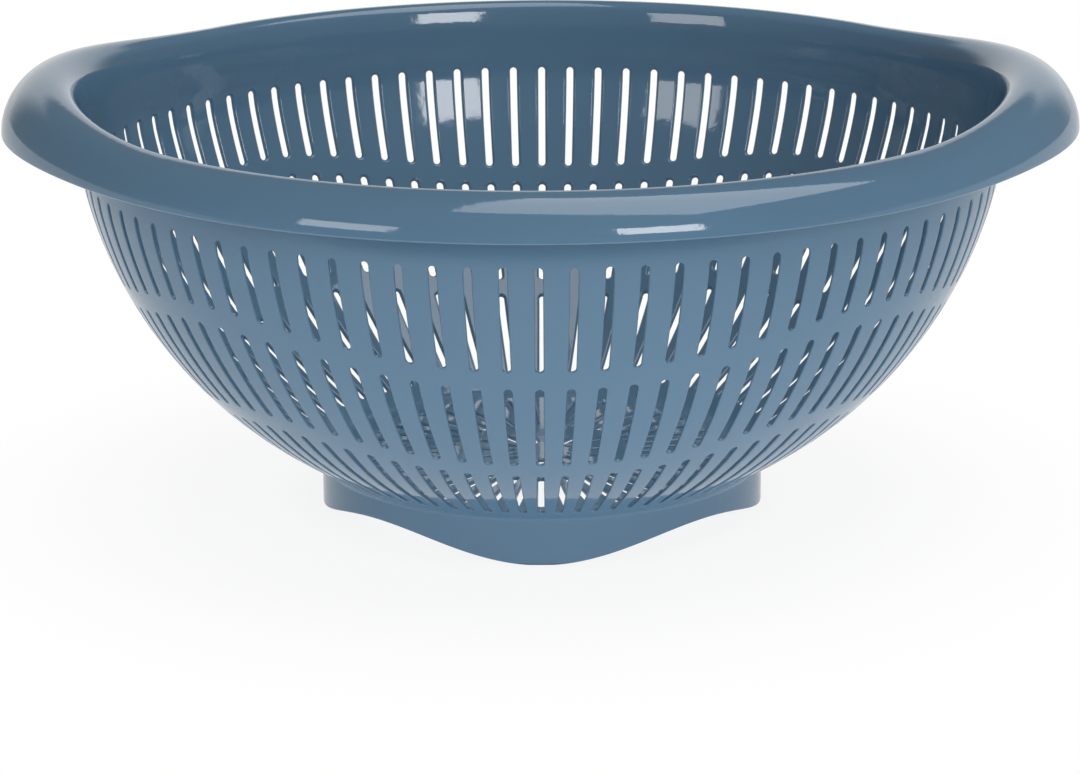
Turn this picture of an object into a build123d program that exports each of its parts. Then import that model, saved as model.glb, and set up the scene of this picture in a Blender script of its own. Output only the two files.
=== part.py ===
from build123d import *
import os
from math import acos, asin, atan2, cos, pi, radians, sin, tan

# Colander, one polypropylene moulding with two ear handles and a foot ring on four feet.
# Each node below is one region of the moulding, and neighbours meet face to face.
# Frame: origin on the table under the middle of the bowl, +Z up, +X through the right handle,
# the front of the bowl towards -Y. Millimetres and degrees, turns of the outline in radians.

# Bowl
wall = 1.2                       # thickness of the moulding
collar_radius = 128.7            # outside of the plain upright band under the rim
collar_low = 104.0               # height where the upright band starts to curve in
shoulder_radius = 40.9           # tight curve at the top of the bowl, and how far it turns
shoulder_turn = radians(13.9)
belly_radius = 121.9             # main curve of the bowl, straight below its end
belly_end = radians(57.6)
floor_under = 12.2               # underside of the flat floor
corner_radius = 8.0              # outside curve from the wall into the floor

# Seams between the neck, the rim and the slotted wall
neck_high = 107.0
neck_low = 101.5

# Drain slots in three rows, and the heights of their ends at the front, back, left and right.
# The plain bands between the rows rise in a wave to a crest halfway, over each arch of the foot.
slots_around = 90
slot_rows = (                    # top end, its rise, bottom end, its rise, width
    (100.2, 0.0, 70.4, 9.1, 2.1),
    (65.0, 8.8, 39.0, 7.2, 2.1),
    (34.6, 6.4, 16.4, 0.0, 1.8),
)
wave_power = 1.4                 # above one, the wave is flatter at the front than at its crest
quarter_slots = (23, 22, 23, 22)             # slots in the front, right, back and left quarter

# Rings of radial slots in the floor, as count, inner radius, outer radius and width
floor_rings = ((45, 26.0, 52.0, 1.8), (15, 8.0, 21.0, 1.8))

# Rim at the front and back, and what the same measure is at the middle of a handle
rim_height, handle_height = 120.85, 126.95     # crest
rim_reach, handle_reach = 142.9, 150.8         # radius of the free edge
rim_inside, handle_inside = 128.8, 129.2       # inner wall where it rolls into the crest
rim_roll, handle_roll = 3.4, 7.8               # radius of that roll
rim_under, handle_under = 1.6, 4.8             # length of the curve under the crest
free_edge = 110.25               # height where the free edge starts to round off
roll_slope = radians(18.5)       # lean of the inner wall where the roll starts
lip_fullness = 0.507             # handle length of the lip's curve, 0.55 is a true ellipse
skin_end = 0.8                   # share of the flare that the wall's outer skin follows
handle_half = 43                 # a handle takes this many degrees each side of its middle
height_falloff, reach_falloff = 2.0, 3.1       # powers of the cosine beside a handle
handle_sections = 13

# Foot ring
foot_outer = 63.0
foot_wall = 2.0
arch_height = 7.1                # height of the arches between the feet
land_cut = 0.1                   # taken off the wave so that every foot has a flat land
cutter_low = -5.0


class Arc:
    """Arc of the bowl outline. A turn is the wall's lean from upright, zero on the collar."""

    def __init__(self, start, radius, turn):
        self.radius = radius
        self.r = start[0] - radius * cos(turn)
        self.z = start[1] + radius * sin(turn)

    def at(self, turn, depth=0.0):
        reach = self.radius - depth
        return (self.r + reach * cos(turn), self.z - reach * sin(turn))

    def turn_at(self, height):
        return asin((self.z - height) / self.radius)


shoulder = Arc((collar_radius, collar_low), shoulder_radius, 0.0)
belly = Arc(shoulder.at(shoulder_turn), belly_radius, shoulder_turn)
straight_top = belly.at(belly_end)
corner_high = floor_under + corner_radius * (1 - sin(belly_end))
straight_drop = straight_top[1] - corner_high
corner_start = (straight_top[0] - straight_drop * tan(belly_end), corner_high)
corner = Arc(corner_start, corner_radius, belly_end)


def to_3d(point):
    return Vector(point[0], 0, point[1])


def outline_point(height):
    """Point of the bowl's outside at a height, as (radius, height)."""
    if height > shoulder.at(shoulder_turn)[1]:
        return shoulder.at(shoulder.turn_at(height))
    if height > straight_top[1]:
        return belly.at(belly.turn_at(height))
    return (straight_top[0] - (straight_top[1] - height) * tan(belly_end), height)


def line(a, b):
    return Edge.make_line(to_3d(a), to_3d(b))


def bezier(*points):
    return Edge.make_bezier(*(to_3d(p) for p in points))


def arc_edge(arc, turn_a, turn_b, depth=0.0):
    turns = (turn_a, (turn_a + turn_b) / 2, turn_b)
    return Edge.make_three_point_arc(*(to_3d(arc.at(t, depth)) for t in turns))


def spin(edges, angle=360.0):
    """Solid of revolution about Z from a closed outline in the XZ plane."""
    return Solid.revolve(Face(Wire(edges)), angle, Axis.Z)


# Slots

def slot_cutter(end_a, end_b, width):
    """Round-ended slot whose full length runs between two points of the outline."""
    a, b = to_3d(end_a), to_3d(end_b)
    plane = Plane(origin=(a + b) / 2, x_dir=b - a, z_dir=Vector(0, 1, 0).cross(b - a))
    return extrude(plane * SlotOverall((b - a).length, width), wall * 3, both=True)


def wave(angle):
    """Share of a row's rise, this many degrees from the front."""
    return ((1 - cos(radians(4 * angle))) / 2) ** wave_power


# Wall of the bowl, from the top down

def neck_band():
    inside = collar_radius - wall
    low = shoulder.turn_at(neck_low)
    return spin([
        line((collar_radius, neck_high), (collar_radius, collar_low)),
        arc_edge(shoulder, 0, low),
        line(shoulder.at(low), shoulder.at(low, wall)),
        arc_edge(shoulder, low, 0, wall),
        line((inside, collar_low), (inside, neck_high)),
        line((inside, neck_high), (collar_radius, neck_high)),
    ])


def wall_quarter(first_slot, count):
    """Slotted wall from one plain web to another, slots counted from the front."""
    top = shoulder.turn_at(neck_low)
    pitch = 360 / slots_around
    band = spin([
        arc_edge(shoulder, top, shoulder_turn),
        arc_edge(belly, shoulder_turn, belly_end),
        line(belly.at(belly_end), corner.at(belly_end)),
        line(corner.at(belly_end), corner.at(belly_end, wall)),
        line(corner.at(belly_end, wall), belly.at(belly_end, wall)),
        arc_edge(belly, belly_end, shoulder_turn, wall),
        arc_edge(shoulder, shoulder_turn, top, wall),
        line(shoulder.at(top, wall), shoulder.at(top)),
    ], count * pitch).rotate(Axis.Z, (first_slot - 0.5) * pitch - 90)
    cutters = []
    for slot in range(first_slot, first_slot + count):
        angle = slot * pitch
        for high, high_rise, low, low_rise, width in slot_rows:
            ends = (high + high_rise * wave(angle), low + low_rise * wave(angle))
            cutter = slot_cutter(*(outline_point(z) for z in ends), width)
            cutters.append(cutter.rotate(Axis.Z, angle - 90))
    return band - cutters


def floor_disc():
    under, above = corner.at(pi / 2), corner.at(pi / 2, wall)
    disc = spin([
        arc_edge(corner, belly_end, pi / 2),
        line(under, (0, under[1])),
        line((0, under[1]), (0, above[1])),
        line((0, above[1]), above),
        arc_edge(corner, pi / 2, belly_end, wall),
        line(corner.at(belly_end, wall), corner.at(belly_end)),
    ])
    cutters = []
    for count, inner, outer, width in floor_rings:
        cutter = slot_cutter((inner, floor_under), (outer, floor_under), width)
        cutters += [cutter.rotate(Axis.Z, i * 360 / count - 90) for i in range(count)]
    return disc - cutters


# Foot ring with four arches

def arch_cutter():
    """Space under the arch whose middle lies on +X."""
    middle_radius = foot_outer - foot_wall / 2
    half_angle = acos(2 * land_cut / arch_height - 1) / 4
    steps = 12
    top = []
    for i in range(steps + 1):
        angle = half_angle * (2 * i / steps - 1)
        rise = arch_height / 2 * (1 + cos(4 * angle)) - land_cut
        top.append(Vector(0, middle_radius * sin(angle), rise))
    half_width = middle_radius * sin(half_angle)
    corners = [Vector(0, half_width, 0), Vector(0, half_width, cutter_low),
               Vector(0, -half_width, cutter_low), Vector(0, -half_width, 0)]
    # the wave ends exactly on the corners of the cutter
    top[0], top[-1] = corners[3], corners[0]
    outline = [Edge.make_spline(top)] + [Edge.make_line(a, b) for a, b in zip(corners, corners[1:])]
    return extrude(Face(Wire(outline)), foot_outer * 2, dir=(1, 0, 0))


def foot_ring():
    inner = foot_outer - foot_wall
    ring = spin([
        line((foot_outer, 0), (foot_outer, straight_top[1])),
        line((foot_outer, straight_top[1]), (inner, straight_top[1])),
        line((inner, straight_top[1]), (inner, 0)),
        line((inner, 0), (foot_outer, 0)),
    ])
    bowl_bottom = spin([
        arc_edge(corner, belly_end, pi / 2),
        line(corner.at(pi / 2), (0, floor_under)),
        line((0, floor_under), (0, straight_top[1])),
        line((0, straight_top[1]), straight_top),
        line(straight_top, corner.at(belly_end)),
    ])
    arches = [arch_cutter().rotate(Axis.Z, 45 + 90 * i) for i in range(4)]
    return ring - bowl_bottom - arches


# Rim and handles share one section, which changes with the angle from a handle's middle

def rim_section(angle):
    """Closed outline in the XZ plane of the rim, this many degrees from a handle's middle."""
    away = cos(radians(min(abs(angle), handle_half) * 90 / handle_half))
    lift, spread = away ** height_falloff, away ** reach_falloff
    height = rim_height + (handle_height - rim_height) * lift
    inside = rim_inside + (handle_inside - rim_inside) * lift
    roll = rim_roll + (handle_roll - rim_roll) * lift
    under = rim_under + (handle_under - rim_under) * lift
    reach = rim_reach + (handle_reach - rim_reach) * spread

    collar_in, collar_out = (collar_radius - wall, neck_high), (collar_radius, neck_high)
    roll_start = (inside, height - roll * (1 - sin(roll_slope)))
    crest = (inside + roll * cos(roll_slope), height)
    roll_middle_slope = (roll_slope + pi / 2) / 2
    roll_middle = (crest[0] - roll * cos(roll_middle_slope),
                   height - roll * (1 - sin(roll_middle_slope)))
    flare_control = (collar_in[0], roll_start[1] - (inside - collar_in[0]) / tan(roll_slope))

    # the wall's outer skin ends where the flare has run most of its length
    t = skin_end
    flare = [(1 - t) ** 2 * a + 2 * t * (1 - t) * b + t ** 2 * c
             for a, b, c in zip(collar_in, flare_control, roll_start)]
    run = [(1 - t) * (b - a) + t * (c - b) for a, b, c in zip(collar_in, flare_control, roll_start)]
    lean = atan2(run[0], run[1])
    skin_top = (flare[0] + wall * cos(lean), flare[1] - wall * sin(lean))
    skin_control = (collar_radius, skin_top[1] - (skin_top[0] - collar_radius) / tan(lean))
    under_height = height - wall
    under_control = (skin_top[0] + (under_height - skin_top[1]) * tan(lean), under_height)
    under_start = (under_control[0] + under, under_height)

    tip, tip_in = (reach, free_edge), (reach - wall, free_edge)
    tip_low = (reach - wall / 2, free_edge - wall / 2)
    full = lip_fullness
    return [
        bezier(collar_in, flare_control, roll_start),
        Edge.make_three_point_arc(to_3d(roll_start), to_3d(roll_middle), to_3d(crest)),
        bezier(crest, (crest[0] + full * (tip[0] - crest[0]), height),
               (tip[0], free_edge + full * (height - free_edge)), tip),
        Edge.make_three_point_arc(to_3d(tip), to_3d(tip_low), to_3d(tip_in)),
        bezier(tip_in, (tip_in[0], free_edge + full * (under_height - free_edge)),
               (under_start[0] + full * (tip_in[0] - under_start[0]), under_height), under_start),
        bezier(under_start, under_control, skin_top),
        bezier(skin_top, skin_control, collar_out),
        line(collar_out, collar_in),
    ]


def plain_rim(middle):
    """Rim between the two handles, centred on an angle counted from +X."""
    span = 180 - 2 * handle_half
    arc = spin(rim_section(handle_half), span)
    return arc.rotate(Axis.Z, middle - span / 2)


def handle(middle):
    """Handle centred on an angle counted from +X."""
    sections = []
    for i in range(handle_sections):
        angle = handle_half * (2 * i / (handle_sections - 1) - 1)
        sections.append(Wire(rim_section(angle)).rotate(Axis.Z, angle))
    return Solid.make_loft(sections).rotate(Axis.Z, middle)


nodes = {
    "front_rim": plain_rim(-90),
    "back_rim": plain_rim(90),
    "right_handle": handle(0),
    "left_handle": handle(180),
    "neck_band": neck_band(),
    "drain_floor": floor_disc(),
    "foot_ring": foot_ring(),
}
slot = -(quarter_slots[0] // 2)
for side, count in zip(("front", "right", "back", "left"), quarter_slots):
    nodes[side + "_wall"] = wall_quarter(slot, count)
    slot += count

os.makedirs("parts", exist_ok=True)
for name, shape in nodes.items():
    export_step(shape, f"parts/{name}.step")
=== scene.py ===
import bpy
import numpy as np
from math import asin, atan2, cos, pi, radians, sin, sqrt, tan
from mathutils import Matrix, Vector
from mathutils.geometry import delaunay_2d_cdt


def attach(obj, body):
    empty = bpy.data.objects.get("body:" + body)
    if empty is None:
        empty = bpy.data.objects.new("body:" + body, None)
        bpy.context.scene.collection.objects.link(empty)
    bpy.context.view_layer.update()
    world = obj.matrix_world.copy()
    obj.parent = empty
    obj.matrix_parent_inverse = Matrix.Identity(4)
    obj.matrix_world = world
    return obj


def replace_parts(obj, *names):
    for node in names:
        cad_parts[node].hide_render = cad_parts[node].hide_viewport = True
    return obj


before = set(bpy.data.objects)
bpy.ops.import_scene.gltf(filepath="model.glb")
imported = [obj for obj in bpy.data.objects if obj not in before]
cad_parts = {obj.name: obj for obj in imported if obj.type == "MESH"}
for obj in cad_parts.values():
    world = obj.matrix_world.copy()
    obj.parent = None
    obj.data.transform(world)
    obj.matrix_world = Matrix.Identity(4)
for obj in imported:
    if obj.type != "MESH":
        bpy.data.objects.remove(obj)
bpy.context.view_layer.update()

# Outline of the bowl in millimetres, turns in radians from upright
WALL = 1.2
COLLAR_RADIUS, COLLAR_LOW = 128.7, 104.0        # upright band, down to where it curves in
SHOULDER_RADIUS, SHOULDER_TURN = 40.9, radians(13.9)
BELLY_RADIUS, BELLY_END = 121.9, radians(57.6)  # main curve, straight below its end
FLOOR_UNDER, CORNER_RADIUS = 12.2, 8.0
NECK_HIGH, NECK_LOW = 107.0, 101.5      # seams with the rim and with the slotted wall

# Slots in three rows. The plain bands between the rows rise in a wave over the foot's arches.
SLOTS_AROUND = 90
SLOT_PITCH = 2 * pi / SLOTS_AROUND
SLOT_ROWS = (                           # top end, its rise, bottom end, its rise, width, divisions
    (100.2, 0.0, 70.4, 9.1, 2.1, 8),
    (65.0, 8.8, 39.0, 7.2, 2.1, 7),
    (34.6, 6.4, 16.4, 0.0, 1.8, 5),
)
WAVE_POWER = 1.4                        # above one, flatter at the front than at its crest
QUARTER_SLOTS = {"front": 23, "right": 22, "back": 23, "left": 22}
FLOOR_RINGS = ((45, 26.0, 52.0, 1.8), (15, 8.0, 21.0, 1.8))    # count, two radii, width
WALL_EDGES = ((0.35, 0.3), (0.9, 0.6))  # width and depth of the slot bevels, outside and inside
FLOOR_EDGES = ((0.3, 0.3), (0.6, 0.5))  # the same under and over the floor
EDGE_STEPS = 3
BEVEL_POWER = 1.6                       # two would be a round edge, one a straight bevel
CAP_STEPS = 8                           # divisions of a slot's round end
STEPS_AROUND = 360

# Rim, at the front and at the middle of a handle
RIM_HEIGHT, HANDLE_HEIGHT = 120.85, 126.95      # crest
RIM_REACH, HANDLE_REACH = 142.9, 150.8          # radius of the free edge
RIM_INSIDE, HANDLE_INSIDE = 128.8, 129.2        # inner wall where it rolls into the crest
RIM_ROLL, HANDLE_ROLL = 3.4, 7.8        # radius of that roll
RIM_UNDER, HANDLE_UNDER = 1.6, 4.8      # length of the curve under the crest
FREE_EDGE = 110.25                      # height where the free edge starts to round off
ROLL_SLOPE = radians(18.5)              # lean of the inner wall where the roll starts
LIP_FULLNESS = 0.507                    # handle length of the lip's curve, 0.55 is an ellipse
SKIN_END = 0.8                          # share of the flare that the wall's outside follows
HANDLE_HALF = 43                        # degrees that a handle takes each side of its middle
HEIGHT_FALLOFF, REACH_FALLOFF = 2.0, 3.1        # powers of the cosine beside a handle

# Foot ring
FOOT_OUTER, FOOT_WALL = 63.0, 2.0
ARCH_HEIGHT, LAND_CUT = 7.1, 0.1
FOOT_EDGE = 0.45                        # rounding of the ring's lower edge
FOOT_FILLET = 0.9                       # fillet between the ring and the bowl
FILLET_SAG = 0.1                        # how far under the bowl the fillet's control point lies

WELDS_PER_MM = 1e4                      # points closer than one such step become one


# Bowl outline

class Arc:
    """Arc of the outline. A turn is the wall's lean from upright, zero on the collar."""

    def __init__(self, start, radius, turn):
        self.radius = radius
        self.r = start[0] - radius * cos(turn)
        self.z = start[1] + radius * sin(turn)

    def at(self, turn, depth=0.0):
        reach = self.radius - depth
        return (self.r + reach * cos(turn), self.z - reach * sin(turn))


shoulder = Arc((COLLAR_RADIUS, COLLAR_LOW), SHOULDER_RADIUS, 0.0)
belly = Arc(shoulder.at(SHOULDER_TURN), BELLY_RADIUS, SHOULDER_TURN)
straight_top = belly.at(BELLY_END)
corner_high = FLOOR_UNDER + CORNER_RADIUS * (1 - sin(BELLY_END))
straight_length = (straight_top[1] - corner_high) / cos(BELLY_END)
corner_start = (straight_top[0] - straight_length * sin(BELLY_END), corner_high)
corner = Arc(corner_start, CORNER_RADIUS, BELLY_END)
ROW_SEAMS = ((NECK_LOW, 0.0), (67.7, 8.9), (36.8, 6.8), (corner_high, 0.0))  # height and rise
COLLAR_LENGTH = NECK_HIGH - COLLAR_LOW
SHOULDER_LENGTH = SHOULDER_RADIUS * SHOULDER_TURN
BELLY_LENGTH = BELLY_RADIUS * (BELLY_END - SHOULDER_TURN)


def outline(run):
    """Radius, height and turn of the bowl's outside, this far down from the rim seam."""
    if run < COLLAR_LENGTH:
        return (COLLAR_RADIUS, NECK_HIGH - run, 0.0)
    run -= COLLAR_LENGTH
    if run < SHOULDER_LENGTH:
        turn = run / SHOULDER_RADIUS
        return (*shoulder.at(turn), turn)
    run -= SHOULDER_LENGTH
    if run < BELLY_LENGTH:
        turn = SHOULDER_TURN + run / BELLY_RADIUS
        return (*belly.at(turn), turn)
    run -= BELLY_LENGTH
    return (straight_top[0] - run * sin(BELLY_END), straight_top[1] - run * cos(BELLY_END), BELLY_END)


def run_at(height):
    """How far down the outline a height lies."""
    if height > COLLAR_LOW:
        return NECK_HIGH - height
    if height > shoulder.at(SHOULDER_TURN)[1]:
        return COLLAR_LENGTH + SHOULDER_RADIUS * asin((shoulder.z - height) / SHOULDER_RADIUS)
    if height > straight_top[1]:
        turn = asin((belly.z - height) / BELLY_RADIUS)
        return COLLAR_LENGTH + SHOULDER_LENGTH + BELLY_RADIUS * (turn - SHOULDER_TURN)
    down = (straight_top[1] - height) / cos(BELLY_END)
    return COLLAR_LENGTH + SHOULDER_LENGTH + BELLY_LENGTH + down


# Meshes

class Skin:
    """Faces over welded points, which keep the true normal of the surface."""

    def __init__(self):
        self.points, self.normals, self.faces, self.index = [], [], [], {}

    def add(self, point, normal):
        key = tuple(round(c * WELDS_PER_MM) for c in point)
        if key not in self.index:
            self.index[key] = len(self.points)
            self.points.append(point)
            self.normals.append(normal)
        return self.index[key]

    def face(self, *corners):
        kept = [c for i, c in enumerate(corners) if c != corners[i - 1]]
        if len(kept) > 2:
            self.faces.append(kept)

    def grid(self, rows):
        """Quads between rows of vertex numbers."""
        for a, b in zip(rows, rows[1:]):
            for i in range(len(a) - 1):
                self.face(a[i], a[i + 1], b[i + 1], b[i])


def skin_object(name, skin, material):
    """Object from a skin in millimetres."""
    mesh = bpy.data.meshes.new(name)
    mesh.from_pydata([[c / 1000 for c in p] for p in skin.points], [], skin.faces)
    mesh.polygons.foreach_set("use_smooth", [True] * len(mesh.polygons))
    mesh.normals_split_custom_set_from_vertices([Vector(n).normalized() for n in skin.normals])
    mesh.materials.append(material)
    obj = bpy.data.objects.new(name, mesh)
    bpy.context.collection.objects.link(obj)
    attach(obj, "root")
    return obj


def spun(point, normal, angle):
    """Point and normal in the XZ plane, turned about Z."""
    c, s = cos(angle), sin(angle)
    return (
        (point[0] * c - point[1] * s, point[0] * s + point[1] * c, point[2]),
        (normal[0] * c - normal[1] * s, normal[0] * s + normal[1] * c, normal[2]),
    )


def lathe(skin, profile, closed=True):
    """Spin a list of (radius, height, normal radius, normal height), going down the outside."""
    rows = []
    for i in range(STEPS_AROUND + 1):
        angle = 2 * pi * (i % STEPS_AROUND) / STEPS_AROUND
        row = [skin.add(*spun((r, 0, z), (nr, 0, nz), angle)) for r, z, nr, nz in profile]
        rows.append(row + row[:1] if closed else row)
    skin.grid(rows)


# Slots

def wave(angle):
    """Share of a row's rise at an angle from the front."""
    return ((1 - cos(4 * angle)) / 2) ** WAVE_POWER


def row_runs(index, angle):
    """Runs of the seam above a row, the middles of its slots' round ends and the seam below."""
    high, high_rise, low, low_rise, width, _ = SLOT_ROWS[index]
    heights = (ROW_SEAMS[index], (high, high_rise), (low, low_rise), ROW_SEAMS[index + 1])
    top, start, end, bottom = (run_at(z + rise * wave(angle)) for z, rise in heights)
    return top, start + width / 2, end - width / 2, bottom


def slot_loop(index, slot):
    """Stations round a slot. Each is (side, up, centre run, frame angle, frame run): the way out
    of the slot, the run it starts from, and the matching point on the edge of its sector."""
    middle, half = slot * SLOT_PITCH, SLOT_PITCH / 2
    centres = row_runs(index, middle)[1:3]
    side_steps = SLOT_ROWS[index][-1]
    quarter = CAP_STEPS // 4
    loop = []
    for cap in range(2):
        across = 1 - 2 * cap
        for k in range(CAP_STEPS + 1):
            phi = pi * (cap + k / CAP_STEPS)
            share = max(-1, min(1, (2 * quarter - k) / quarter)) * across
            reach = min(1, k / quarter, (4 * quarter - k) / quarter)
            angle = middle + half * share
            top, start, end, bottom = row_runs(index, angle)
            near, edge = (end, bottom) if cap else (start, top)
            loop.append((cos(phi), sin(phi), centres[cap], angle, near + (edge - near) * reach))
        angle = middle - half * across
        sides = row_runs(index, angle)[1:3]
        for k in range(1, side_steps):
            t = k / side_steps
            centre, side = ((1 - t) * pair[cap] + t * pair[1 - cap] for pair in (centres, sides))
            loop.append((-across, 0.0, centre, angle, side))
    return loop


def wall_point(angle, run, depth):
    """Point and normal at an angle from the front, this deep under the bowl's outside."""
    r, z, turn = outline(run)
    normal = (cos(turn), 0, -sin(turn))
    return spun((r - depth * cos(turn), 0, z + depth * sin(turn)), normal, angle - pi / 2)


def slot_rings(edges):
    """Rings from the outside through the slot to the inside, as (grow, depth, lean), where lean
    is the turn of the normal from the outer surface through the slot's wall to the inner one."""
    (width_out, depth_out), (width_in, depth_in) = edges
    outer, inner = [], []
    for i in range(EDGE_STEPS + 1):
        lean = pi / 2 * i / EDGE_STEPS
        left, done = (1 - part(lean) ** BEVEL_POWER for part in (sin, cos))
        outer.append((width_out * left, depth_out * done, lean))
        inner.append((width_in * left, WALL - depth_in * done, pi - lean))
    return outer + inner[::-1]


def slotted_sector(skin, index, slot):
    """Wall from one web's middle to the next with the slot between them, in one row."""
    half_width = SLOT_ROWS[index][4] / 2
    loop = slot_loop(index, slot)
    rings = [[wall_point(angle, run, 0) for *_, angle, run in loop]]
    for grow, depth, lean in slot_rings(WALL_EDGES):
        ring = []
        for side, up, centre, _, _ in loop:
            run = centre - up * (half_width + grow)
            r, _, turn = outline(run)
            angle = slot * SLOT_PITCH + side * (half_width + grow) / r
            point, out = wall_point(angle, run, depth)
            down, along = spun((-sin(turn), 0, -cos(turn)), (0, 1, 0), angle - pi / 2)
            into = [up * d - side * a for d, a in zip(down, along)]
            ring.append((point, [o * cos(lean) + i * sin(lean) for o, i in zip(out, into)]))
        rings.append(ring)
    inside = [wall_point(angle, run, WALL) for *_, angle, run in loop]
    rings.append([(p, [-c for c in n]) for p, n in inside])
    rows = [[skin.add(p, n) for p, n in ring] for ring in rings]
    skin.grid([row + row[:1] for row in rows])


def side_runs(angle):
    """Runs of the stations down one side of a column of slots."""
    quarter = CAP_STEPS // 4
    runs = []
    for index, row in enumerate(SLOT_ROWS):
        top, start, end, bottom = row_runs(index, angle)
        for a, b, steps in ((top, start, quarter), (start, end, row[-1]), (end, bottom, quarter)):
            runs += [a + (b - a) * k / steps for k in range(steps)]
    return runs + [bottom]


def close_seam(skin, stations, turned=False):
    """Strip of faces between the outer and the inner surface along (angle, run) stations."""
    outer, inner = ([skin.add(*wall_point(*s, depth)) for s in stations] for depth in (0, WALL))
    skin.grid([inner, outer] if turned else [outer, inner])


def wall_quarter(first, count):
    """Quarter of the slotted wall, from this slot on, closed along its four seams."""
    skin = Skin()
    for slot in range(first, first + count):
        for index in range(len(SLOT_ROWS)):
            slotted_sector(skin, index, slot)
    per_slot = CAP_STEPS // 2
    angles = [(first - 0.5 + k / per_slot) * SLOT_PITCH for k in range(count * per_slot + 1)]
    close_seam(skin, [(angle, run_at(NECK_LOW)) for angle in angles])
    close_seam(skin, [(angle, run_at(corner_high)) for angle in angles], True)
    close_seam(skin, [(angles[-1], run) for run in side_runs(angles[-1])])
    close_seam(skin, [(angles[0], run) for run in side_runs(angles[0])], True)
    return skin


def neck():
    """Plain band between the rim and the slotted wall."""
    skin = Skin()
    steps = 5
    runs = [0, COLLAR_LENGTH] + [
        COLLAR_LENGTH + (run_at(NECK_LOW) - COLLAR_LENGTH) * (i + 1) / steps for i in range(steps)
    ]
    profile = []
    for run in runs:
        r, z, turn = outline(run)
        profile.append((r, z, cos(turn), -sin(turn)))
    for run in reversed(runs):
        r, z, turn = outline(run)
        profile.append((r - WALL * cos(turn), z + WALL * sin(turn), -cos(turn), sin(turn)))
    lathe(skin, profile)
    return skin


def drain_floor():
    """Floor with its rounded corner, up to the seam with the slotted wall."""
    skin = Skin()
    steps = 8
    turns = [BELLY_END + (pi / 2 - BELLY_END) * i / steps for i in range(steps + 1)]
    outer = [(*corner.at(t), cos(t), -sin(t)) for t in turns]
    inner = [(*corner.at(t, WALL), -cos(t), sin(t)) for t in reversed(turns)]
    lathe(skin, outer, False)
    lathe(skin, inner, False)
    lathe(skin, [inner[-1], outer[0]], False)
    slots = floor_slots()
    flat_face(skin, FLOOR_UNDER, -1, [slot[0] for slot in slots], FLOOR_EDGES[0][0])
    flat_face(skin, FLOOR_UNDER + WALL, 1, [slot[-1] for slot in slots], FLOOR_EDGES[1][0])
    for slot in slots:
        rows = [[skin.add(p, n) for p, n in ring] for ring in slot]
        skin.grid([row + row[:1] for row in rows])
    return skin


def flat_face(skin, level, way, holes, grow):
    """Flat face of the floor at a height, with its holes. The way is 1 for up and -1 for down."""
    radius = corner.at(pi / 2)[0]
    angles = [2 * pi * i / STEPS_AROUND for i in range(STEPS_AROUND)]
    coords = [(radius * cos(angle), radius * sin(angle)) for angle in angles]
    borders = [(i, (i + 1) % STEPS_AROUND) for i in range(STEPS_AROUND)]
    for hole in holes:
        first, size = len(coords), len(hole)
        coords += [(x, y) for (x, y, _), _ in hole]
        borders += [(first + i, first + (i + 1) % size) for i in range(size)]
    inside_only, tolerance = 1, 1e-6
    points = [Vector(c) for c in coords]
    _, _, triangles, sources, *_ = delaunay_2d_cdt(points, borders, [], inside_only, tolerance)
    for triangle in triangles:
        flat = [coords[sources[i][0]] for i in triangle]
        if in_floor_slot(sum((Vector(c) for c in flat), Vector((0, 0))) / 3, grow):
            continue
        corners = [skin.add((*c, level), (0, 0, way)) for c in flat]
        skin.face(*(corners if way > 0 else reversed(corners)))


def floor_loop(outer, inner):
    """Stations round a floor slot between the middles of its ends, as (side, up, reach)."""
    side_steps = 6
    loop = []
    for cap, (a, b) in enumerate(((outer, inner), (inner, outer))):
        angles = [pi * (cap + k / CAP_STEPS) for k in range(CAP_STEPS + 1)]
        loop += [(cos(phi), sin(phi), a) for phi in angles]
        loop += [(2 * cap - 1, 0.0, a + (b - a) * k / side_steps) for k in range(1, side_steps)]
    return loop


def floor_slots():
    """Each floor slot as its rings of (point, normal), from the underside up."""
    slots = []
    for count, inner, outer, width in FLOOR_RINGS:
        half_width = width / 2
        loop = floor_loop(outer - half_width, inner + half_width)
        for i in range(count):
            turn = 2 * pi * i / count - pi / 2
            rings = []
            for grow, depth, lean in slot_rings(FLOOR_EDGES):
                ring = []
                for side, up, centre in loop:
                    reach = centre + up * (half_width + grow)
                    point = (reach, side * (half_width + grow), FLOOR_UNDER + depth)
                    normal = (-up * sin(lean), -side * sin(lean), -cos(lean))
                    ring.append(spun(point, normal, turn))
                rings.append(ring)
            slots.append(rings)
    return slots


def in_floor_slot(point, grow):
    """Whether a point of the floor lies in a slot that is this much wider all round."""
    reach = point.length
    for count, inner, outer, width in FLOOR_RINGS:
        if inner - grow < reach < outer + grow:
            step = 2 * pi / count
            angle = (atan2(point.y, point.x) + pi / 2 + step / 2) % step - step / 2
            along = min(max(reach * cos(angle), inner + width / 2), outer - width / 2)
            away = sqrt((reach * cos(angle) - along) ** 2 + (reach * sin(angle)) ** 2)
            return away < width / 2 + grow
    return False


def foot_rise(angle):
    """Height of the ring's lower edge, zero on the four feet."""
    return max(0.0, ARCH_HEIGHT / 2 * (1 - cos(4 * angle)) - LAND_CUT)


def bowl_height(radius):
    """Height of the bowl's straight outside at a radius."""
    return straight_top[1] - (straight_top[0] - radius) / tan(BELLY_END)


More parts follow.
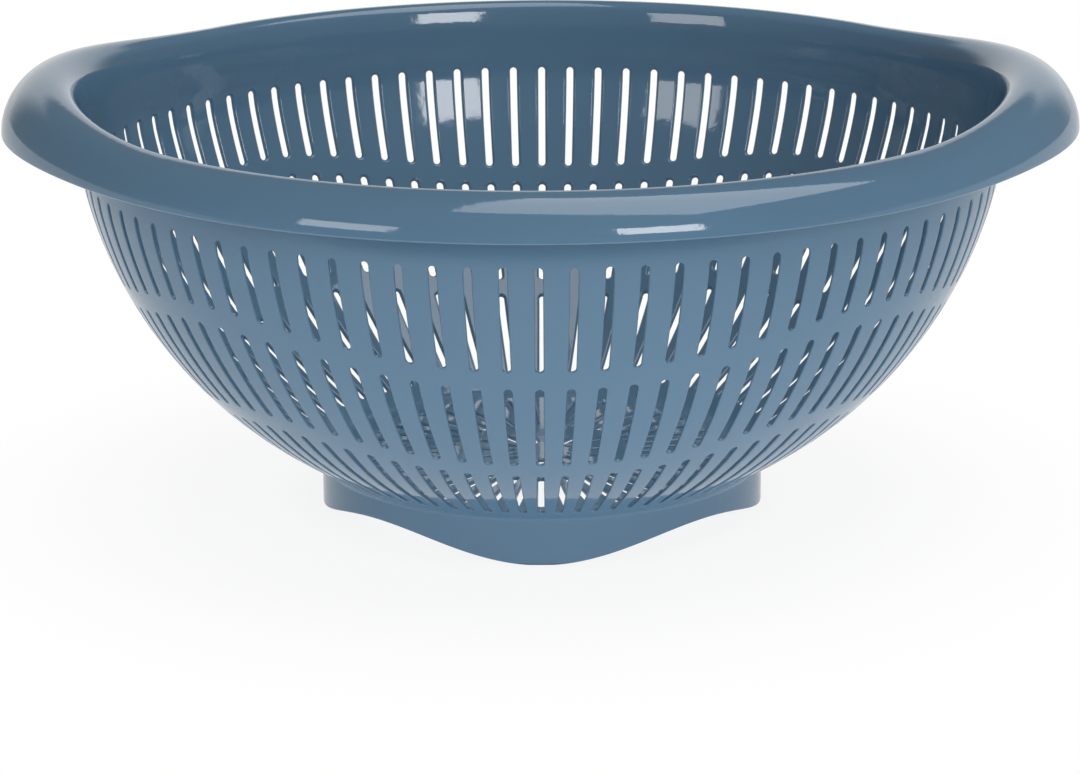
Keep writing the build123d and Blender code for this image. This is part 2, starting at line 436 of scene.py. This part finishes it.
def foot_section(low):
    """Section of the ring over its lower edge, down the outside and up the inside, as (radius,
    height, normal radius, normal height, share of the edge's slope in the normal)."""
    fillet_steps, edge_steps, side_steps = 5, 4, 3
    inner_radius = FOOT_OUTER - FOOT_WALL
    joint = bowl_height(FOOT_OUTER)
    fillet = (
        (FOOT_OUTER + FOOT_FILLET, bowl_height(FOOT_OUTER + FOOT_FILLET)),
        (FOOT_OUTER, joint - FILLET_SAG),
        (FOOT_OUTER, joint - FOOT_FILLET),
    )
    section = []
    for k in range(fillet_steps + 1):
        (r, z), (dr, dz) = curve_point("bezier", fillet, k / fillet_steps)
        size = sqrt(dr * dr + dz * dz)
        section.append((r, z, -dz / size, dr / size, 0))
    for k in range(1, side_steps):
        t = k / side_steps
        section.append((FOOT_OUTER, (joint - FOOT_FILLET) * (1 - t) + (low + FOOT_EDGE) * t, 1, 0, 0))
    for radius, way in ((FOOT_OUTER, 1), (inner_radius, -1)):
        for k in range(edge_steps + 1):
            lean = pi / 2 * (k if way > 0 else edge_steps - k) / edge_steps
            r = radius - way * FOOT_EDGE * (1 - cos(lean))
            z = low + FOOT_EDGE * (1 - sin(lean))
            section.append((r, z, way * cos(lean), -sin(lean), sin(lean)))
    for k in range(1, side_steps + 1):
        t = k / side_steps
        z = (low + FOOT_EDGE) * (1 - t) + bowl_height(inner_radius) * t
        section.append((inner_radius, z, -1, 0, 0))
    return section


def foot_ring():
    """Ring under the bowl, whose lower edge rises in four arches between the feet."""
    skin = Skin()
    nudge = 1e-4
    rows = []
    for i in range(STEPS_AROUND + 1):
        angle = 2 * pi * (i % STEPS_AROUND) / STEPS_AROUND
        slope = (foot_rise(angle + nudge) - foot_rise(angle - nudge)) / (2 * nudge * FOOT_OUTER)
        row = [
            skin.add(*spun((r, 0, z), (nr, slope * share, nz), angle))
            for r, z, nr, nz, share in foot_section(foot_rise(angle))
        ]
        rows.append(row + row[:1])
    skin.grid(rows)
    return skin


# Rim and handles

def rim_curves(angle):
    """The rim's section this many degrees from a handle's middle: the kind of each curve, its
    divisions and its data, from the collar's inside over the crest and back to its outside."""
    away = cos(radians(min(abs(angle), HANDLE_HALF) * 90 / HANDLE_HALF))
    lift, spread = away ** HEIGHT_FALLOFF, away ** REACH_FALLOFF
    height = RIM_HEIGHT + (HANDLE_HEIGHT - RIM_HEIGHT) * lift
    inside = RIM_INSIDE + (HANDLE_INSIDE - RIM_INSIDE) * lift
    roll = RIM_ROLL + (HANDLE_ROLL - RIM_ROLL) * lift
    under = RIM_UNDER + (HANDLE_UNDER - RIM_UNDER) * lift
    reach = RIM_REACH + (HANDLE_REACH - RIM_REACH) * spread

    collar_in, collar_out = (COLLAR_RADIUS - WALL, NECK_HIGH), (COLLAR_RADIUS, NECK_HIGH)
    roll_start = (inside, height - roll * (1 - sin(ROLL_SLOPE)))
    crest = (inside + roll * cos(ROLL_SLOPE), height)
    flare_control = (collar_in[0], roll_start[1] - (inside - collar_in[0]) / tan(ROLL_SLOPE))
    t = SKIN_END
    flare = [(1 - t) ** 2 * a + 2 * t * (1 - t) * b + t ** 2 * c
             for a, b, c in zip(collar_in, flare_control, roll_start)]
    run = [(1 - t) * (b - a) + t * (c - b) for a, b, c in zip(collar_in, flare_control, roll_start)]
    lean = atan2(run[0], run[1])
    skin_top = (flare[0] + WALL * cos(lean), flare[1] - WALL * sin(lean))
    skin_control = (COLLAR_RADIUS, skin_top[1] - (skin_top[0] - COLLAR_RADIUS) / tan(lean))
    under_height = height - WALL
    under_control = (skin_top[0] + (under_height - skin_top[1]) * tan(lean), under_height)
    under_start = (under_control[0] + under, under_height)
    tip, tip_in = (reach, FREE_EDGE), (reach - WALL, FREE_EDGE)
    full = LIP_FULLNESS
    bend, bend_in = (a[0] + full * (b[0] - a[0]) for a, b in ((crest, tip), (under_start, tip_in)))
    return [
        ("bezier", 14, (collar_in, flare_control, roll_start)),
        ("arc", 8, ((crest[0], height - roll), roll, pi - ROLL_SLOPE, pi / 2)),
        ("bezier", 28, (crest, (bend, height), (reach, FREE_EDGE + full * (height - FREE_EDGE)), tip)),
        ("arc", 8, ((reach - WALL / 2, FREE_EDGE), WALL / 2, 0, -pi)),
        ("bezier", 16, (tip_in, (tip_in[0], FREE_EDGE + full * (under_height - FREE_EDGE)),
                        (bend_in, under_height), under_start)),
        ("bezier", 6, (under_start, under_control, skin_top)),
        ("bezier", 10, (skin_top, skin_control, collar_out)),
    ]


def curve_point(kind, data, t):
    """Point and direction on one curve, from its start at zero to its end at one. An arc's data
    is its centre, radius and two angles, and a Bezier curve's data is its control points."""
    if kind == "arc":
        centre, radius, first, last = data
        a = first + (last - first) * t
        way = 1 if last > first else -1
        return (centre[0] + radius * cos(a), centre[1] + radius * sin(a)), (-way * sin(a), way * cos(a))
    points = [np.array(p) for p in data]
    while len(points) > 1:
        if len(points) == 2:
            way = points[1] - points[0]
        points = [a * (1 - t) + b * t for a, b in zip(points, points[1:])]
    return tuple(points[0]), tuple(way)


def rim_profile(angle):
    """Points and directions all along the rim's section."""
    points, ways = [], []
    curves = rim_curves(angle)
    for kind, steps, data in curves:
        for i in range(steps):
            point, way = curve_point(kind, data, i / steps)
            points.append(point)
            ways.append(way)
    point, way = curve_point(*curves[-1][::2], 1.0)
    return np.array(points + [point]), np.array(ways + [way])


def rim_piece(middle, first, last, section_angle):
    """Rim between two whole degrees from a middle direction, both ends closed. The section angle
    says how far each degree counts as being from a handle's middle."""
    skin = Skin()
    rows = []
    nudge = 0.01
    for degree in range(first, last + 1):
        profile, ways = rim_profile(section_angle(degree))
        before = rim_profile(section_angle(degree - nudge))[0]
        after = rim_profile(section_angle(degree + nudge))[0]
        change = (after - before) / radians(2 * nudge)
        angle = radians(middle + degree)
        row = []
        for (r, z), (dr, dz), (cr, cz) in zip(profile, ways, change):
            # the section's direction crossed with the way round the rim
            along = Vector((cr, r, cz))
            across = Vector((dr, 0, dz))
            normal = across.cross(along).normalized()
            row.append(skin.add(*spun((r, 0, z), tuple(normal), angle)))
        rows.append(row + row[:1])
    skin.grid(rows)
    skin.faces.append(rows[0][-2::-1])
    skin.faces.append(rows[-1][:-1])
    return skin


# Materials

PLASTIC_IOR = 1.49
PIGMENT_DARK, PIGMENT_LIGHT = (0.081, 0.159, 0.242, 1), (0.088, 0.170, 0.256, 1)
NOISE_MIDDLE = (0.3, 0.7)               # the part of a noise that is spread over a range
POLISH = (0.05, 0.08)                   # roughness of the gloss


def node(tree, kind, **inputs):
    made = tree.nodes.new(kind)
    for name, value in inputs.items():
        made.inputs[name.replace("_", " ")].default_value = value
    return made


def ranged(tree, value, limits, results, smooth=True):
    """A value between two limits, spread over two results."""
    made = tree.nodes.new("ShaderNodeMapRange")
    made.interpolation_type = "SMOOTHSTEP" if smooth else "LINEAR"
    for name, number in zip(("From Min", "From Max", "To Min", "To Max"), (*limits, *results)):
        made.inputs[name].default_value = number
    tree.links.new(value, made.inputs["Value"])
    return made.outputs["Result"]


def reckoned(tree, operation, *values):
    made = tree.nodes.new("ShaderNodeMath")
    made.operation = operation
    for value, socket in zip(values, made.inputs):
        tree.links.new(value, socket)
    return made.outputs[0]


def mixed(tree, factor, **ends):
    """Between the ends A and B, each a number or the output of a node."""
    made = tree.nodes.new("ShaderNodeMix")
    made.data_type = "FLOAT"
    tree.links.new(factor, made.inputs["Factor"])
    for name, end in ends.items():
        if isinstance(end, float):
            made.inputs[name].default_value = end
        else:
            tree.links.new(end, made.inputs[name])
    return made.outputs["Result"]


def plastic():
    """Glossy moulded plastic, its pigment and polish a little uneven."""
    material = bpy.data.materials.new("blue_grey_polypropylene")
    material.use_nodes = True
    tree = material.node_tree
    shader = tree.nodes["Principled BSDF"]
    shader.inputs["IOR"].default_value = PLASTIC_IOR
    place = tree.nodes.new("ShaderNodeTexCoord")

    # slow clouding of the pigment
    cloud = node(tree, "ShaderNodeTexNoise", Scale=14.0, Detail=3.0, Roughness=0.5)
    tree.links.new(place.outputs["Object"], cloud.inputs["Vector"])
    colour = tree.nodes.new("ShaderNodeValToRGB")
    stops = colour.color_ramp.elements
    for stop, position, pigment in zip(stops, NOISE_MIDDLE, (PIGMENT_DARK, PIGMENT_LIGHT)):
        stop.position = position
        stop.color = pigment
    tree.links.new(cloud.outputs["Fac"], colour.inputs["Fac"])
    tree.links.new(colour.outputs["Color"], shader.inputs["Base Color"])

    # the polish varies a little, and the surface has a fine orange peel
    polish = node(tree, "ShaderNodeTexNoise", Scale=90.0, Detail=4.0, Roughness=0.6)
    tree.links.new(place.outputs["Object"], polish.inputs["Vector"])
    rough = ranged(tree, polish.outputs["Fac"], NOISE_MIDDLE, POLISH, False)
    tree.links.new(rough, shader.inputs["Roughness"])
    peel = node(tree, "ShaderNodeTexNoise", Scale=420.0, Detail=2.0, Roughness=0.5)
    tree.links.new(place.outputs["Object"], peel.inputs["Vector"])
    bump = node(tree, "ShaderNodeBump", Strength=0.12, Distance=0.0002)
    tree.links.new(peel.outputs["Fac"], bump.inputs["Height"])
    tree.links.new(bump.outputs["Normal"], shader.inputs["Normal"])
    return material


# The object

shell = plastic()
skins = {
    "neck_band": neck(),
    "drain_floor": drain_floor(),
    "foot_ring": foot_ring(),
    "right_handle": rim_piece(0, -HANDLE_HALF, HANDLE_HALF, abs),
    "left_handle": rim_piece(180, -HANDLE_HALF, HANDLE_HALF, abs),
    "front_rim": rim_piece(-90, HANDLE_HALF - 90, 90 - HANDLE_HALF, lambda a: HANDLE_HALF),
    "back_rim": rim_piece(90, HANDLE_HALF - 90, 90 - HANDLE_HALF, lambda a: HANDLE_HALF),
}
next_slot = -(QUARTER_SLOTS["front"] // 2)
for side, count in QUARTER_SLOTS.items():
    skins[side + "_wall"] = wall_quarter(next_slot, count)
    next_slot += count
for name, skin in skins.items():
    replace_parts(skin_object(name + "_moulding", skin, shell), name)


# Floor

FLOOR_HALF = 3.0
PAPER = (0.9, 0.9, 0.9, 1)
FRONT_LIMITS = (-0.5, -0.28)            # Y over which the floor dims for the gloss only, a painted dark reflection standing for a darker room in front
FRONT_MIRRORED, FLOOR_MIRRORED = 0.15, 0.8      # painted mirrored brightness beyond those limits and on this side
SHADOW_LIMITS = (0.06, 0.20)            # the shadow fades between these distances from the middle
SHADOW_WHITE = 0.88                     # how white the floor already is nearest the foot
floor_mesh = bpy.data.meshes.new("floor")
floor_corners = [(x * FLOOR_HALF, y * FLOOR_HALF, 0) for x, y in ((-1, -1), (1, -1), (1, 1), (-1, 1))]
floor_mesh.from_pydata(floor_corners, [], [(0, 1, 2, 3)])
floor = bpy.data.objects.new("floor", floor_mesh)
bpy.context.collection.objects.link(floor)


def floor_material():
    """Paper that is plain white to the camera, apart from the shadow by the foot, and dimmer towards
    the front in the gloss only, a painted dark reflection.
    """
    material = bpy.data.materials.new("white_floor")
    material.use_nodes = True
    tree = material.node_tree
    tree.nodes.remove(tree.nodes["Principled BSDF"])
    paper = node(tree, "ShaderNodeBsdfDiffuse", Color=PAPER)
    white = tree.nodes.new("ShaderNodeEmission")
    place = tree.nodes.new("ShaderNodeTexCoord")
    rays = tree.nodes.new("ShaderNodeLightPath").outputs
    ahead = tree.nodes.new("ShaderNodeSeparateXYZ")
    tree.links.new(place.outputs["Object"], ahead.inputs[0])
    # the gloss alone sees the floor dimmer towards the front, a painted dark reflection, while the
    # camera still sees it white
    floor_in_gloss = ranged(tree, ahead.outputs["Y"], FRONT_LIMITS, (FRONT_MIRRORED, FLOOR_MIRRORED))
    tree.links.new(mixed(tree, rays["Is Glossy Ray"], A=1.0, B=floor_in_gloss), white.inputs["Strength"])
    reach = tree.nodes.new("ShaderNodeVectorMath")
    reach.operation = "LENGTH"
    tree.links.new(place.outputs["Object"], reach.inputs[0])
    fade = ranged(tree, reach.outputs["Value"], SHADOW_LIMITS, (SHADOW_WHITE, 1.0))
    seen = reckoned(tree, "MAXIMUM", rays["Is Camera Ray"], rays["Is Glossy Ray"])
    shown = reckoned(tree, "MAXIMUM", seen, rays["Is Transmission Ray"])
    mix = tree.nodes.new("ShaderNodeMixShader")
    tree.links.new(reckoned(tree, "MULTIPLY", fade, shown), mix.inputs["Fac"])
    tree.links.new(paper.outputs[0], mix.inputs[1])
    tree.links.new(white.outputs[0], mix.inputs[2])
    tree.links.new(mix.outputs[0], tree.nodes["Material Output"].inputs["Surface"])
    return material


floor_mesh.materials.append(floor_material())


# World, white to the camera, and to the gloss a dim room with a bright backdrop behind

LOW_AMBIENT, AMBIENT = 0.12, 0.09       # soft light from the horizon and from higher up
AMBIENT_LIMITS = (0.0, 0.5)             # these and the next are parts of a unit direction
ROOM_GLOW = 0.2                         # what the gloss mirrors beside and above the backdrop
BACKDROP_FRONT = (-0.1, 0.35)           # Y over which the backdrop begins
BACKDROP_SIDE = (0.38, 0.65)            # X over which it ends on both sides
BACKDROP_TOP = (0.38, 0.46)             # Z over which it ends


def room():
    world = bpy.data.worlds.new("room")
    bpy.context.scene.world = world
    world.use_nodes = True
    tree = world.node_tree
    tree.nodes.clear()
    output = tree.nodes.new("ShaderNodeOutputWorld")
    rays = tree.nodes.new("ShaderNodeLightPath").outputs
    place = tree.nodes.new("ShaderNodeTexCoord")
    way = tree.nodes.new("ShaderNodeSeparateXYZ")
    tree.links.new(place.outputs["Generated"], way.inputs[0])
    behind = ranged(tree, way.outputs["Y"], BACKDROP_FRONT, (0.0, 1.0))
    middle = ranged(tree, reckoned(tree, "ABSOLUTE", way.outputs["X"]), BACKDROP_SIDE, (1.0, 0.0))
    low = ranged(tree, way.outputs["Z"], BACKDROP_TOP, (1.0, ROOM_GLOW))
    mirrored = mixed(tree, reckoned(tree, "MULTIPLY", behind, middle), A=ROOM_GLOW, B=low)
    ambient = ranged(tree, way.outputs["Z"], AMBIENT_LIMITS, (LOW_AMBIENT, AMBIENT), False)
    light = mixed(tree, rays["Is Glossy Ray"], A=ambient, B=mirrored)
    seen = reckoned(tree, "MAXIMUM", rays["Is Camera Ray"], rays["Is Transmission Ray"])
    background = node(tree, "ShaderNodeBackground", Color=(1, 1, 1, 1))
    tree.links.new(mixed(tree, seen, A=light, B=1.0), background.inputs["Strength"])
    tree.links.new(background.outputs[0], output.inputs["Surface"])


room()


# Lamps

def lamp(name, place, aim, size, watts):
    """Rectangular lamp at a place, turned to an aim, its size as width and height."""
    data = bpy.data.lights.new(name, "AREA")
    data.shape = "RECTANGLE"
    data.size, data.size_y = size
    data.energy = watts
    obj = bpy.data.objects.new(name, data)
    bpy.context.collection.objects.link(obj)
    obj.location = place
    obj.rotation_euler = (Vector(aim) - Vector(place)).to_track_quat("-Z", "Y").to_euler()
    return obj


BOWL_MIDDLE = (0, 0, 0.08)
light_table = lamp("light_table", (0, -0.1, 0.0005), (0, -0.1, 1), (1.4, 1.0), 3.2)
light_table.visible_camera = False
light_table.visible_glossy = False
lamp("overhead_panel", (0.36, -0.1, 1.5), BOWL_MIDDLE, (1.3, 1.2), 16)
lamp("front_left_softbox", (-1.252, -1.43, 0.655), BOWL_MIDDLE, (0.70, 0.56), 6.5)
lamp("front_right_softbox", (0.82, -1.72, 0.672), BOWL_MIDDLE, (0.60, 0.60), 12.5)


# Camera, fitted to the photograph

IMAGE_WIDTH, IMAGE_HEIGHT = 1080, 774
CENTRE_X, CENTRE_Y = 541.1, 293.83          # where the aim point falls in the image
FOCAL_PIXELS = 3738.36
SENSOR = 36.0
DISTANCE, ELEVATION, YAW, ROLL = 1.06424, 0.256649, -0.0043, -0.0054069      # metres, radians
AIM = Vector((0, 0, 0.060))
CLIP = (0.05, 20)


def make_camera():
    """Camera from its distance and angles, its frame shifted as in the photograph."""
    data = bpy.data.cameras.new("camera")
    data.sensor_width = SENSOR
    data.lens = FOCAL_PIXELS * SENSOR / IMAGE_WIDTH
    data.shift_x = -(CENTRE_X - IMAGE_WIDTH / 2) / IMAGE_WIDTH
    data.shift_y = (CENTRE_Y - IMAGE_HEIGHT / 2) / IMAGE_WIDTH
    data.clip_start, data.clip_end = CLIP
    right = Vector((cos(YAW), -sin(YAW), 0))
    up = Vector((sin(ELEVATION) * sin(YAW), sin(ELEVATION) * cos(YAW), cos(ELEVATION)))
    ahead = Vector((cos(ELEVATION) * sin(YAW), cos(ELEVATION) * cos(YAW), -sin(ELEVATION)))
    rolled_right = right * cos(ROLL) + up * sin(ROLL)
    rolled_up = up * cos(ROLL) - right * sin(ROLL)
    axes = Matrix((rolled_right, rolled_up, -ahead)).transposed()
    camera = bpy.data.objects.new("camera", data)
    bpy.context.collection.objects.link(camera)
    camera.matrix_world = Matrix.Translation(AIM - ahead * DISTANCE) @ axes.to_4x4()
    bpy.context.scene.camera = camera


make_camera()
bpy.context.scene.view_settings.view_transform = "Standard"
